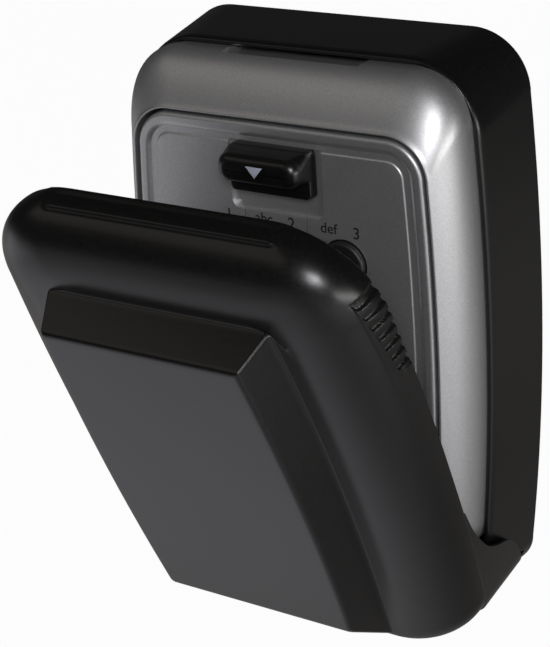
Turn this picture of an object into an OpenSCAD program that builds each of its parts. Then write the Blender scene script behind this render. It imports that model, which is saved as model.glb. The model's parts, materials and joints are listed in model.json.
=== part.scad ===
// Push-button key safe with a hinged weather cover, drawn with the cover ajar.
// X runs to the right, the front faces -Y and +Z is up. The origin is on the wall face, midway
// between the four wall screws. Depths are measured forwards from the wall.

/* [Lock body] */
// Width of the body across its bowed sides
body_w = 79.4; // [74:0.2:86]
// Height of the body's top above the screw centre
body_top = 56.5; // [54:0.5:62]
// Depth of the body's bottom below the screw centre
body_bottom = 48.4; // [47:0.2:54]
// Depth of the rim's front from the wall
body_front = 31.4; // [30:0.2:36]
// Length of the rim's rounding along the depth
rim_round = 8.9; // [6:0.1:10]
// Radius of the body's corners
body_corner = 11.4; // [9:0.2:13]
// Thickness of the body's side walls
body_wall = 3.2; // [2:0.1:4]
// Thickness of the body's back wall
body_back = 3; // [2:0.1:5]
// Radius that bows the long sides
bow_r = 530; // [400:10:1500]
// Depth of the notch in the body's top behind the rim
notch_depth = 1.2; // [0.6:0.1:1.4]
// Width of that notch
notch_w = 30; // [20:1:40]

/* [Wall screws] */
// Distance between the screw holes across
screw_dx = 50; // [40:1:56]
// Distance between the screw holes up and down
screw_dz = 70; // [60:1:74]
// Radius of the screw holes
screw_hole_r = 2.6; // [2:0.1:3.2]

/* [Door] */
// Width of the door across its bowed sides
door_w = 68; // [66:0.2:69]
// Height of the door's top above the screw centre
door_top = 45.7; // [45:0.1:46.5]
// Depth of the door's bottom below the screw centre
door_bottom = 42.3; // [41:0.1:43]
// Radius of the door's corners
door_corner = 7.4; // [6.5:0.1:9]
// Gap around the door
door_gap = 0.5; // [0.4:0.05:0.8]
// Thickness of the door panel
panel_t = 3; // [2.6:0.1:3.4]
// Width of the rounded bead along the door's edge
bead_w = 1.1; // [0.8:0.1:1.4]
// Width of the flat band inside the bead
band_w = 3.2; // [2.4:0.1:3.6]
// Depth of the field below the band
field_step = 0.4; // [0.2:0.05:0.6]
// Depth of the door's back box behind the panel
box_depth = 8.3; // [8:0.1:9]
// Thickness of the box's walls
box_wall = 2.2; // [1.6:0.1:2.4]
// Thickness of the plate that closes the box
plate_t = 1.5; // [1:0.1:1.8]
// Radius of the hinge pin
pin_r = 0.8; // [0.6:0.05:0.8]
// Radial running clearance of the hinge pin
pin_gap = 0.03; // [0.02:0.01:0.08]

/* [Keypad] */
// Distance between the columns of buttons
column_pitch = 14.7; // [14.2:0.1:15.4]
// Distance between the rows of buttons
row_pitch = 15.6; // [15:0.1:15.8]
// Height of the first row above the screw centre
first_row = 18.5; // [18:0.1:19]
// Radius of a button
button_r = 5.2; // [4.8:0.1:5.4]
// Radial gap around a button
button_gap = 0.3; // [0.25:0.05:0.4]
// How far a button stands proud of the field
button_proud = 1.3; // [0.8:0.1:2]
// How far a button is pressed
button_travel = 2; // [1:0.1:2.2]
// Width of the collar that keeps a button in
collar_w = 0.9; // [0.7:0.05:1]
// Radius of a button's stem
stem_r = 2; // [1.6:0.1:2.2]
// Radius of a code selector's head
selector_r = 3.4; // [3:0.1:4]

/* [Open lever] */
// Width of the lever
lever_w = 18.6; // [16:0.2:19.4]
// Height of the lever
lever_h = 9.9; // [9:0.1:10]
// How far the lever's head stands proud of the door
lever_proud = 7; // [5:0.1:7.4]
// How far the lever slides down
lever_travel = 2.2; // [1.6:0.1:2.3]
// Width of the recess that the lever slides in
recess_w = 20.1; // [19.6:0.1:21]
// Height of that recess
recess_h = 13.5; // [13.5:0.1:14.5]
// Depth of that recess below the field
recess_depth = 1; // [0.8:0.05:1.2]

/* [Weather cover] */
// Thickness of the rear cover's back
cover_back = 2.5; // [2:0.1:4]
// Thickness of the rear cover's walls at the back
cover_wall = 2.5; // [2:0.1:3.5]
// How much the walls thin towards the lip
cover_draft = 1; // [0.4:0.1:1.2]
// Depth of the rear cover's lip from the wall
cover_depth = 21.3; // [19:0.1:21.8]
// Depth of the rear cover's bottom below the screw centre
cover_bottom = 59.5; // [58.8:0.1:62]
// Thickness of the flap
flap_wall = 1; // [1:0.1:1.3]
// Room between the flap's sides and the body
flap_side_room = 2.4; // [2.1:0.1:3]
// Room between the flap's top and the body
flap_top_room = 1.4; // [1:0.1:2]
// Room between the flap's bottom and the body
flap_bottom_room = 2.1; // [1.7:0.1:2.4]
// Depth of the flap's shoulder from the wall
shoulder_depth = 36.4; // [36:0.1:40]
// How far the shoulder draws in from the flap's side edge
shoulder_in = 9.9; // [8:0.1:10.5]
// How far the shoulder drops below the flap's top edge
shoulder_drop = 8.4; // [7:0.1:9]
// Width of the flat band beside the raised front panel
side_band = 6.5; // [4:0.1:8]
// Width of the flat band above that panel
top_band = 3; // [2:0.1:4]
// Width of the flat band below that panel
bottom_band = 1.6; // [1:0.1:2]
// Height of the raised front panel above the shoulder
plateau_rise = 5.8; // [5.4:0.1:8]
// Width of the bevel round that panel
bevel_w = 4.2; // [3:0.1:5]
// How far the cover stands open, in degrees
cover_ajar = 24.4; // [20:0.1:28]
// Thickness of the strip between the two creases
strip_t = 1.6; // [1.2:0.1:1.6]
// Radius of the rolled bead along each crease
crease_r = 1.1; // [1:0.05:1.2]
// Radial clearance of a bead in its groove
crease_gap = 0.1; // [0.08:0.01:0.1]

/* [Hidden] */
// Free gap between pieces that move past each other or are assembled side by side
clear = 0.3;
side_steps = 6;
corner_steps = 7;
round_steps = 6;
circle_steps = 48;
sliver = 0.02;

// Names of the keys, row by row
keys = ["1", "2", "3", "4", "5", "6", "7", "8", "9", "a", "0", "b"];
columns = 3;
button_nodes = [for (k = keys) str("button_", k)];
selector_nodes = [for (k = keys) str("code_selector_", k)];

// Outlines. An outline is [half width, top, bottom, top corner radius, bottom corner radius].
function bowed_x(half, z) = half - bow_r + sqrt(bow_r * bow_r - z * z);
function arc(x, z, r, from) =
    [for (i = [0:corner_steps]) let (a = from + 90 * i / corner_steps) [x + r * cos(a), z + r * sin(a)]];
function bowed_side(half, from, to) =
    [for (i = [1:side_steps - 1]) let (z = from + (to - from) * i / side_steps) [bowed_x(half, z), z]];
function mirrored(points) = [for (p = points) [-p[0], p[1]]];
function bowed(o) =
    let (zt = o[1] - o[3], zb = o[2] + o[4], xt = bowed_x(o[0], zt) - o[3], xb = bowed_x(o[0], zb) - o[4])
    concat(bowed_side(o[0], zb, zt), arc(xt, zt, o[3], 0), arc(-xt, zt, o[3], 90),
           mirrored(bowed_side(o[0], zt, zb)), arc(-xb, zb, o[4], 180), arc(xb, zb, o[4], 270));
function straight(o) =
    concat(arc(o[0] - o[3], o[1] - o[3], o[3], 0), arc(o[3] - o[0], o[1] - o[3], o[3], 90),
           arc(o[4] - o[0], o[2] + o[4], o[4], 180), arc(o[0] - o[4], o[2] + o[4], o[4], 270));
function inset(o, by) = [o[0] - by, o[1] - by, o[2] + by, max(o[3] - by, 0.5), max(o[4] - by, 0.5)];
function blend(a, b, t) = [for (i = [0:len(a) - 1]) a[i] + (b[i] - a[i]) * t];

// Body and door sizes
body_outline = [body_w / 2, body_top, -body_bottom, body_corner, body_corner];
// The lower corners are rounder than the opening's, to clear the rim as the door drops
swing_relief = 1.4;
door_outline = [door_w / 2, door_top, -door_bottom, door_corner, door_corner + swing_relief];
opening = inset([door_w / 2, door_top, -door_bottom, door_corner, door_corner], -door_gap);
rim_start = body_front - rim_round;
rim_lip = 5.4;
cavity = inset(body_outline, body_wall);
cavity_floor = cover_back + body_back;
cavity_front = body_front - rim_lip;
door_front = body_front - 0.1;
panel_back = door_front - panel_t;
field = inset(door_outline, bead_w + band_w);
field_front = door_front - field_step;
box_back = panel_back - box_depth;
box_inset = 3.9;
box_outline = inset(door_outline, box_inset);
box_inside = inset(box_outline, box_wall);
plate_back = box_back - plate_t;
pin_depth = door_front - pin_r - 0.5;
pin_z = -door_bottom + bead_w + band_w - pin_r - 0.1;
pin_seat = 2;
keeper_gap = 0.4;
keeper_margin = 2;
keeper_depth = 4;

// Half width of an outline's lower corner at height z
function corner_x(o, z) =
    let (zb = o[2] + o[4]) bowed_x(o[0], zb) - o[4] + sqrt(o[4] * o[4] - (zb - z) * (zb - z));
pin_half = corner_x(opening, pin_z) + pin_seat;

// Keypad sizes, as depths from the wall
button_front = field_front + button_proud;
collar_front = panel_back - clear;
collar_back = collar_front - 1.4;
collar_r = button_r + collar_w;
stem_end = box_back + 0.8;
selector_front = stem_end - clear;
selector_head = plate_back - clear;
selector_back = selector_head - 1;
stem_hole_r = stem_r + 0.2;
post_r = 2.6;
post_inset = 6.2;
post_x = box_outline[0] - post_inset;
post_top = box_outline[1] - post_inset + 0.9;
post_bottom = box_outline[2] + post_inset - 0.3;
plate_screw_r = 1.1;
function key_x(i) = (i % columns - 1) * column_pitch;
function key_z(i) = first_row - floor(i / columns) * row_pitch;
function post_places() = [for (x = [-post_x, post_x], z = [post_top, post_bottom]) [x, z]];

// Lever sizes
recess_top = field[1];
recess_bottom = recess_top - recess_h;
recess_floor = field_front - recess_depth;
lever_top = recess_top - clear;
lever_bottom = lever_top - lever_h;
lever_front = door_front + lever_proud;
neck_half = 4;
neck_top = lever_top - 3.2;
neck_bottom = lever_bottom + 2.4;
slide_front = panel_back - 0.4;
slide_t = 1.2;
slide_back = slide_front - slide_t;
slide_half = 10;
slide_rise = 4;
slide_bottom = first_row + collar_r + lever_travel + 1.4;
bolt_half = 6;
bolt_top = door_top - 0.2;
arm_half = (column_pitch - 2 * collar_r) / 2 - clear;
arm_bottom = box_inside[2] + lever_travel + 1;
lug_t = 1.5;
lug_x = slide_half + 2.4;
lug_half = 2.2;
spring_top = slide_bottom + 4.4;
spring_bottom = slide_bottom - lever_travel + 0.8;
spring_depth = slide_back - 1.6;
lug_reach = 2;
lever_screw_r = 0.9;
lever_screw_x = 2.2;
lever_screw_z = (neck_top + neck_bottom) / 2;

// Weather cover sizes
cover_fit = inset(body_outline, -clear);
cover_outline = inset(cover_fit, -cover_wall);
cover_edge = [cover_outline[0], cover_outline[1], -cover_bottom, cover_outline[3], 8];
cover_lip_round = 2.8;
flap_back = cover_depth + 0.5;
flap_edge = [body_w / 2 + flap_side_room + flap_wall, body_top + flap_top_room + flap_wall,
             -(body_bottom + flap_bottom_room + flap_wall), 15.5, 6];
shoulder = [flap_edge[0] - shoulder_in, flap_edge[1] - shoulder_drop, flap_edge[2] + shoulder_drop + 0.3, 12, 4];
band = [shoulder[0] - side_band, shoulder[1] - top_band, shoulder[2] + bottom_band, 6, 6];
band_depth = shoulder_depth + 0.5;
plateau = inset(band, bevel_w);
plateau_depth = shoulder_depth + plateau_rise;
shoulder_power = 1.9;
rear_crease_depth = cover_back + 2.6;
rear_crease_z = -cover_bottom + 2.3;
front_crease_z = flap_edge[2] + 0.5;
crease_half = bowed_x(flap_edge[0], flap_edge[2] + flap_edge[4]) - flap_edge[4];
strip_rise = atan2(front_crease_z - rear_crease_z, flap_back - rear_crease_depth);
strip_len = norm([front_crease_z - rear_crease_z, flap_back - rear_crease_depth]);
groove_r = crease_r + crease_gap;
knuckle_r = groove_r + 0.8;
cheek_h = 3.2;
cheek_gap = 0.6;
cheek_out = bowed_x(cover_outline[0] - cover_draft / 2, rear_crease_z + cheek_h);
cheek_in = bowed_x(cover_fit[0], rear_crease_z + cheek_h);

// A solid through rings of equal count, each [points, depth], closed by a flat cap at both ends
module loft(rings) {
    n = len(rings[0][0]);
    last = len(rings) - 1;
    points = [for (ring = rings) for (p = ring[0]) [p[0], -ring[1], p[1]]];
    sides = [for (i = [0:last - 1]) for (j = [0:n - 1]) let (k = (j + 1) % n)
        each [[i * n + j, (i + 1) * n + j, (i + 1) * n + k], [i * n + j, (i + 1) * n + k, i * n + k]]];
    back_cap = [for (j = [0:n - 1]) j];
    front_cap = [for (j = [n - 1:-1:0]) last * n + j];
    polyhedron(points, concat([back_cap], sides, [front_cap]));
}

// A flat shape drawn in X and Z, extruded between two depths
module slab(from, to) {
    translate([0, -from, 0]) rotate([90, 0, 0]) linear_extrude(to - from) children();
}

module block(x0, x1, from, to, z0, z1) {
    translate([x0, -to, z0]) cube([x1 - x0, to - from, z1 - z0]);
}

// A round bar along the depth, and one along X
module bar_y(x, z, r, from, to) {
    translate([x, -from, z]) rotate([90, 0, 0]) cylinder(r = r, h = to - from, $fn = circle_steps);
}

module bar_x(depth, z, r, half) {
    translate([-half, -depth, z]) rotate([0, 90, 0]) cylinder(r = r, h = 2 * half, $fn = circle_steps);
}

// A turned piece on an axis along the depth; points are [radius, depth]
module turned(x, z, points) {
    translate([x, 0, z]) rotate([90, 0, 0]) rotate_extrude($fn = circle_steps) polygon(points);
}

// A coil spring along Z between two heights
module coil(x, depth, z0, z1, r, wire_r) {
    turns = 3.5;
    per_turn = 8;
    sides = 5;
    last = turns * per_turn;
    rise = (z1 - z0 - 2 * wire_r) / last;
    points = [for (i = [0:last]) let (a = 360 * i / per_turn, z = z0 + wire_r + rise * i)
        for (k = [0:sides - 1]) let (b = 360 * k / sides, q = r + wire_r * cos(b))
            [x + q * cos(a), -depth + q * sin(a), z + wire_r * sin(b)]];
    skin = [for (i = [0:last - 1]) for (k = [0:sides - 1]) let (m = (k + 1) % sides)
        each [[i * sides + k, i * sides + m, (i + 1) * sides + m],
              [i * sides + k, (i + 1) * sides + m, (i + 1) * sides + k]]];
    low_end = [for (k = [sides - 1:-1:0]) k];
    high_end = [for (k = [0:sides - 1]) last * sides + k];
    polyhedron(points, concat([low_end], skin, [high_end]));
}

// Turns the strip and flap about the rear crease from shut to ajar
module ajar() {
    translate([0, -rear_crease_depth, rear_crease_z]) rotate([cover_ajar, 0, 0])
        translate([0, rear_crease_depth, -rear_crease_z]) children();
}

// Lays a piece along the shut strip: its Y runs back to front as -Y, Z is square to the strip
module along_strip() {
    translate([0, -rear_crease_depth, rear_crease_z]) rotate([-strip_rise, 0, 0]) children();
}

module wall_screw_holes(from, to) {
    for (x = [-screw_dx / 2, screw_dx / 2], z = [-screw_dz / 2, screw_dz / 2])
        bar_y(x, z, screw_hole_r, from, to);
}

module rear_cover() {
    lip = inset(cover_edge, cover_draft);
    cover_inside = [cover_fit[0], cover_fit[1], -cover_bottom + cover_wall, cover_fit[3], cover_edge[4] - cover_wall];
    ledge_top = rear_crease_z + knuckle_r;
    color("#1c1b1b") difference() {
        union() {
            difference() {
                loft([[bowed(cover_edge), 0],
                      [bowed(inset(cover_edge, cover_draft * 0.9)), cover_depth - cover_lip_round],
                      [bowed(inset(lip, 0.15)), cover_depth - cover_lip_round / 3],
                      [bowed(inset(lip, 0.6)), cover_depth],
                      [bowed(cover_inside), cover_depth], [bowed(cover_inside), cover_back]]);
                along_strip() translate([-cover_outline[0] - 1, -cover_depth * 2, -cover_depth])
                    cube([2 * cover_outline[0] + 2, cover_depth * 2, cover_depth + cheek_h + cheek_gap]);
                block(-cover_outline[0] - 1, cover_outline[0] + 1, cover_back, cover_depth,
                      -cover_bottom - 1, ledge_top);
            }
            block(-crease_half, crease_half, cover_back - sliver, rear_crease_depth, -cover_bottom, ledge_top);
        }
        bar_x(rear_crease_depth, rear_crease_z, groove_r, crease_half + 1);
        wall_screw_holes(-1, cover_back + 1);
    }
}

module hinge_strip() {
    cheek_end = strip_len - 3;
    color("#232222") ajar() {
        bar_x(rear_crease_depth, rear_crease_z, crease_r, crease_half - clear);
        bar_x(flap_back, front_crease_z, crease_r, crease_half - clear);
        along_strip() {
            translate([-crease_half + clear, -strip_len + crease_r / 2, -strip_t / 2])
                cube([2 * (crease_half - clear), strip_len - crease_r, strip_t]);
            for (side = [-1, 1]) {
                translate([side > 0 ? crease_half - 1 : -cheek_out, -cheek_end, -strip_t / 2])
                    cube([cheek_out - crease_half + 1, cheek_end - 1.8, strip_t]);
                translate([side > 0 ? cheek_in : -cheek_out, -cheek_end, -strip_t / 2])
                    cube([cheek_out - cheek_in, cheek_end - 1.8, cheek_h + strip_t / 2]);
            }
        }
    }
}

// Outline and depth of the flap's skin: share 0 is its back edge, share 1 its shoulder
function flap_outline(share) = blend(flap_edge, shoulder, pow(share, shoulder_power));
function flap_depth(share) = flap_back + (shoulder_depth - flap_back) * share;
flap_shares = [for (i = [0:round_steps]) i / round_steps];

module cover_flap() {
    inner_back = [for (i = [round_steps:-1:0]) let (s = flap_shares[i])
        [bowed(inset(flap_outline(s), flap_wall)), flap_depth(s) - flap_wall * s]];
    outer = [for (s = flap_shares) [bowed(flap_outline(s)), flap_depth(s)]];
    color("#2a2929") ajar() difference() {
        union() {
            loft(concat([[bowed(inset(plateau, flap_wall / 2)), plateau_depth - flap_wall],
                         [bowed(inset(band, flap_wall / 2)), band_depth - flap_wall]], inner_back, outer,
                        [[bowed(band), band_depth], [bowed(plateau), plateau_depth]]));
            difference() {
                bar_x(flap_back, front_crease_z, knuckle_r, crease_half);
                block(-crease_half - 1, crease_half + 1, flap_back - knuckle_r - 1, flap_back - 0.2,
                      front_crease_z - knuckle_r - 1, front_crease_z + knuckle_r + 1);
                block(-crease_half - 1, crease_half + 1, flap_back - knuckle_r - 1, flap_back + knuckle_r + 1,
                      front_crease_z - knuckle_r - 1, front_crease_z - 0.8);
            }
        }
        bar_x(flap_back, front_crease_z, groove_r, crease_half + 1);
    }
}

// Outline of the rim at an angle round its quarter ellipse, from the body's side to the opening
function rim_outline(a) = blend(body_outline, inset(opening, -0.15), 1 - cos(a));

module lock_body() {
    rim = [for (i = [0:round_steps]) let (a = 90 * i / round_steps)
        [bowed(rim_outline(a)), rim_start + rim_round * sin(a)]];
    notch_front = cover_depth + 2.5;
    notch_slope = 1.3;
    color("#a9aaac") difference() {
        loft(concat([[bowed(body_outline), cover_back]], rim,
                    [[bowed(opening), body_front - 0.2], [bowed(opening), cavity_front],
                     [bowed(cavity), cavity_front], [bowed(cavity), cavity_floor]]));
        wall_screw_holes(cover_back - 1, cavity_floor + 1);
        bar_x(pin_depth, pin_z, pin_r + pin_gap, pin_half + pin_gap);
        slab(cover_back + body_back, notch_front)
            polygon([[-notch_w / 2, body_top - notch_depth], [notch_w / 2, body_top - notch_depth],
                     [notch_w / 2 + notch_slope, body_top + 1], [-notch_w / 2 - notch_slope, body_top + 1]]);
    }
}

module latch_keeper() {
    keeper_half = bolt_half + keeper_margin;
    color("#8c8f92")
        block(-keeper_half, keeper_half, cavity_front - keeper_depth, cavity_front,
              door_top + door_gap + keeper_gap, cavity[1]);
}

module door_hinge_pin() {
    color("#b7babd") bar_x(pin_depth, pin_z, pin_r, pin_half);
}

module door_panel() {
    lug_bottom = spring_bottom - lug_t;
    slot_bottom = neck_bottom - lever_travel - clear;
    window_half = slide_half + clear;
    color("#9c9da0") difference() {
        union() {
            loft([[bowed(door_outline), panel_back], [bowed(door_outline), door_front - bead_w],
                  [bowed(inset(door_outline, bead_w * 0.13)), door_front - bead_w * 0.5],
                  [bowed(inset(door_outline, bead_w * 0.5)), door_front - bead_w * 0.13],
                  [bowed(inset(door_outline, bead_w)), door_front]]);
            slab(box_back, panel_back + sliver) difference() {
                polygon(bowed(box_outline));
                polygon(bowed(box_inside));
            }
            for (p = post_places())
                bar_y(p[0], p[1], post_r, box_back, panel_back + sliver);
            block(lug_x - lug_half, lug_x + lug_half, spring_depth - lug_reach, panel_back + sliver,
                  lug_bottom, spring_bottom);
        }
        slab(field_front, door_front + 1) polygon(bowed(field));
        slab(recess_floor, door_front + 1)
            polygon(straight([recess_w / 2, recess_top, recess_bottom, 0.5, 2.6]));
        block(-neck_half - clear, neck_half + clear, panel_back - 1, door_front, slot_bottom, neck_top + clear);
        block(-window_half, window_half, slide_back - clear, panel_back, box_inside[1] - 1, box_outline[1] + 1);
        for (i = [0:len(keys) - 1])
            bar_y(key_x(i), key_z(i), button_r + button_gap, panel_back - 1, door_front + 1);
        bar_x(pin_depth, pin_z, pin_r + pin_gap, door_w);
        for (p = post_places())
            bar_y(p[0], p[1], plate_screw_r - 0.1, box_back - 1, panel_back);
    }
}

module mechanism_plate() {
    color("#55585c") difference() {
        slab(plate_back, box_back) polygon(bowed(box_outline));
        for (i = [0:len(keys) - 1])
            bar_y(key_x(i), key_z(i), stem_hole_r, plate_back - 1, box_back + 1);
        for (p = post_places())
            bar_y(p[0], p[1], plate_screw_r + 0.1, plate_back - 1, box_back + 1);
    }
}

module plate_screws() {
    head_r = 2.1;
    head_t = 1.1;
    shank = plate_screw_r - 0.15;
    color("#c3c5c7") for (p = post_places())
        turned(p[0], p[1], [[0, plate_back - head_t], [head_r - 0.4, plate_back - head_t],
                            [head_r, plate_back - head_t + 0.4], [head_r, plate_back], [shank, plate_back],
                            [shank, panel_back - 2], [0, panel_back - 2]]);
}

module button_springs() {
    spring_r = stem_r + 1.1;
    color("#b9bcbf") for (i = [0:len(keys) - 1])
        translate([key_x(i), 0, key_z(i)]) rotate([90, 0, 0])
            coil(0, 0, box_back + 0.1, collar_back - 0.1, spring_r, 0.3);
}

module lever_spring() {
    color("#b9bcbf") coil(lug_x, spring_depth, spring_bottom + 0.1, spring_top - 0.1, 1.5, 0.25);
}

module open_lever() {
    base_back = recess_floor + clear;
    base_front = door_front + 1.9;
    head_bottom = lever_bottom + lever_h * 0.46;
    head_top = lever_top - 1.5;
    edge = 0.7;
    profile = [[base_back, lever_bottom], [base_front - edge, lever_bottom], [base_front, lever_bottom + edge],
               [base_front + 0.5, head_bottom - edge], [base_front + 0.5 + edge, head_bottom],
               [lever_front - edge, head_bottom + 0.4], [lever_front, head_bottom + 0.4 + edge],
               [lever_front, head_top - edge], [lever_front - edge, head_top], [base_front, lever_top],
               [base_back, lever_top]];
    color("#101010") difference() {
        union() {
            translate([-lever_w / 2, 0, 0]) rotate([90, 0, 90]) linear_extrude(lever_w)
                polygon([for (p = profile) [-p[0], p[1]]]);
            block(-neck_half, neck_half, slide_front, base_back + sliver, neck_bottom, neck_top);
        }
        for (side = [-1, 1])
            bar_y(side * lever_screw_x, lever_screw_z, lever_screw_r + 0.05, slide_front - 1, base_back + 1);
    }
}

module lever_arrow() {
    arrow_w = 3.9;
    arrow_h = 2.3;
    arrow_t = 0.15;
    arrow_drop = 2.3;
    arrow_top = lever_top - arrow_drop;
    color("#a4a9b8") slab(lever_front, lever_front + arrow_t)
        polygon([[-arrow_w / 2, arrow_top], [0, arrow_top - arrow_h], [arrow_w / 2, arrow_top]]);
}

module lock_slide() {
    color("#8f9295") difference() {
        union() {
            block(-slide_half, slide_half, slide_back, slide_front, slide_bottom, neck_top + slide_rise);
            block(-bolt_half, bolt_half, slide_back, slide_front, neck_top, bolt_top);
            for (side = [-1, 1])
                block(side * column_pitch / 2 - arm_half, side * column_pitch / 2 + arm_half, slide_back, slide_front,
                      arm_bottom, slide_bottom + 1);
            block(slide_half - 1, lug_x + lug_half, spring_depth - lug_reach, slide_front,
                  spring_top, spring_top + lug_t);
        }
        for (side = [-1, 1])
            bar_y(side * lever_screw_x, lever_screw_z, lever_screw_r + 0.1, slide_back - 1, slide_front + 1);
    }
}

module lever_screws() {
    head_r = 1.8;
    head_t = 0.9;
    tip = recess_floor;
    color("#c3c5c7") for (side = [-1, 1])
        turned(side * lever_screw_x, lever_screw_z,
               [[0, slide_back - head_t], [head_r - 0.3, slide_back - head_t], [head_r, slide_back - head_t + 0.3],
                [head_r, slide_back], [lever_screw_r, slide_back], [lever_screw_r, tip], [0, tip]]);
}

module button(i) {
    edge = 0.6;
    color("#161616")
        turned(key_x(i), key_z(i), [[0, stem_end], [stem_r, stem_end], [stem_r, collar_back], [collar_r, collar_back],
                                    [collar_r, collar_front], [button_r, collar_front], [button_r, button_front - edge],
                                    [button_r - edge, button_front], [0, button_front]]);
}

module code_selector(i) {
    slot_w = 0.8;
    slot_depth = 0.6;
    color("#c7a64f") difference() {
        turned(key_x(i), key_z(i), [[0, selector_back], [selector_r - 0.3, selector_back],
                                    [selector_r, selector_back + 0.3], [selector_r, selector_head],
                                    [stem_r, selector_head], [stem_r, selector_front], [0, selector_front]]);
        block(key_x(i) - slot_w / 2, key_x(i) + slot_w / 2, selector_back - 1, selector_back + slot_depth,
              key_z(i) - selector_r * 0.6, key_z(i) + selector_r + 1);
    }
}

rear_cover();
hinge_strip();
cover_flap();
lock_body();
latch_keeper();
door_hinge_pin();
door_panel();
mechanism_plate();
plate_screws();
button_springs();
lever_spring();
open_lever();
lever_arrow();
lock_slide();
lever_screws();
for (i = [0:len(keys) - 1]) {
    button(i);
    code_selector(i);
}
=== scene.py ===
# %% [markdown]
# # A push-button key safe with its weather cover ajar
# The real object is a die-cast metal box with a keypad door, inside a soft black moulded cover.
# The engineering model is already packed as a fixed frame, so this lesson dresses that frame: each
# visible piece is rebuilt as a finer mesh in the same place, and then it gets its finish.

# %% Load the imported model
import json
import math
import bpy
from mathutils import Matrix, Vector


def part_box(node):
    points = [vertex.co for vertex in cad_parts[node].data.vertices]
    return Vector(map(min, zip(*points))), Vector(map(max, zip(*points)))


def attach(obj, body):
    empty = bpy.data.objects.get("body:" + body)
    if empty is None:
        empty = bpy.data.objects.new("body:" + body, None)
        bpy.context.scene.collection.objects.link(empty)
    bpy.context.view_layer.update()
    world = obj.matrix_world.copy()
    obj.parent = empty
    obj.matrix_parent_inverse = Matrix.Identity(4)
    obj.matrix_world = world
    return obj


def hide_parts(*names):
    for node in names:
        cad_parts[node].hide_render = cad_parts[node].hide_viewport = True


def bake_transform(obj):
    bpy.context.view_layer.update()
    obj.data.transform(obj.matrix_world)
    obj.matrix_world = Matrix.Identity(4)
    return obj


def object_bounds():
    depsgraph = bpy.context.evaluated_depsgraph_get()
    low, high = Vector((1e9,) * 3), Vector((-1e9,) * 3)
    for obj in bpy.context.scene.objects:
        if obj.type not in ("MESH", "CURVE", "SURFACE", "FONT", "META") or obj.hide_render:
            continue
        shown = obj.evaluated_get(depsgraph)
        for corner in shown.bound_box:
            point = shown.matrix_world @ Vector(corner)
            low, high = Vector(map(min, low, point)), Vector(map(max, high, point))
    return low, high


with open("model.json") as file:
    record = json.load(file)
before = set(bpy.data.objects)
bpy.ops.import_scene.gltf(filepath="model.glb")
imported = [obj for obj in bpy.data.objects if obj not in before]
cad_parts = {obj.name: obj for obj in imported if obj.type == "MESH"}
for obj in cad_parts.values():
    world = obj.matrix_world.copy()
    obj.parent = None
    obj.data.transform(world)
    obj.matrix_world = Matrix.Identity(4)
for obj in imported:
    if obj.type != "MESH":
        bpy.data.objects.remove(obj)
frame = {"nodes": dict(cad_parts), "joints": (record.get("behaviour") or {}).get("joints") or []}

from types import SimpleNamespace

import bmesh
import bpy
import numpy as np
from mathutils import Matrix, Vector

MM = 0.001
cad_low, cad_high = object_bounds()
print("CAD box in mm:", [round(v / MM, 1) for v in cad_high - cad_low])

# %% [markdown]
# ## Reading sizes from the frame
# A dressed piece must sit where its solid sits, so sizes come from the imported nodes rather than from
# typed numbers. Depth is counted forwards from the wall, which is easier to think in than minus Y.

# %% Sizes of a node, and the two creases of the cover
def reach(node):
    """Where a node starts and ends, in millimetres; depth grows from the wall towards the viewer."""
    low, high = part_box(node)
    return SimpleNamespace(left=low.x / MM, right=high.x / MM, back=-high.y / MM, front=-low.y / MM,
                           bottom=low.z / MM, top=high.z / MM)


joints = {joint["name"]: joint for joint in frame["joints"]}
cover_ajar = -joints["cover_crease"]["range_deg"][0]
rear_crease = Vector(joints["cover_crease"]["pos_m"]) / MM
print("The cover stands open by", cover_ajar, "degrees about", [round(v, 2) for v in rear_crease])

# %% [markdown]
# ## The camera
# The photograph is a product shot from the front right, a little above, with a slight roll. Its view
# was worked out from points of known size on the object, so the lens and place below are typed in.
# A long lens from about 40 cm keeps the gentle perspective that the photograph shows.

# %% Place the camera
PHOTO_HEIGHT = 647
focal_pixels = 1853.0
swing = math.radians(33.93)
tilt = math.radians(23.383)
roll = math.radians(-3.977)
camera_place = Vector((0.18990, -0.31691, 0.15184))

level_right = Vector((math.cos(swing), math.sin(swing), 0))
level_up = Vector((-math.sin(swing) * math.sin(tilt), math.cos(swing) * math.sin(tilt), math.cos(tilt)))
towards_camera = Vector((math.sin(swing) * math.cos(tilt), -math.cos(swing) * math.cos(tilt), math.sin(tilt)))
camera_right = math.cos(roll) * level_right + math.sin(roll) * level_up
camera_up = -math.sin(roll) * level_right + math.cos(roll) * level_up


def add_object(name, data):
    """Puts a new object into the scene."""
    added = bpy.data.objects.new(name, data)
    bpy.context.scene.collection.objects.link(added)
    return added


lens = bpy.data.cameras.new("photo_camera")
lens.sensor_fit = "VERTICAL"
lens.sensor_height = 24.0
lens.lens = focal_pixels * lens.sensor_height / PHOTO_HEIGHT
lens.clip_start = 0.01
camera = add_object("photo_camera", lens)
turn = Matrix((camera_right, camera_up, towards_camera)).transposed()
camera.matrix_world = Matrix.Translation(camera_place) @ turn.to_4x4()
bpy.context.scene.camera = camera
print("Lens", round(lens.lens, 1), "mm")

# %% [markdown]
# ## Skins over outlines
# Every moulded piece here is a rounded rectangle whose long sides bow out a little. One helper draws
# that outline, and another stretches a skin over a row of outlines at growing depths, like the ribs
# of a boat. This gives clean rows of faces, which shade better than a carved block would.

# %% Draw one bowed outline
SIDE_BOW = 530.0
LEAST_CORNER = 0.5


def spread(edge, corner, side):
    """How finely an outline is divided along its short edges, corners and sides."""
    return {"edge": np.linspace(0, 1, edge + 1)[:-1], "low_corner": np.linspace(-90, 0, corner + 1),
            "top_corner": np.linspace(0, 90, corner + 1), "side": np.linspace(0, 1, side + 1)[1:-1]}


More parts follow.
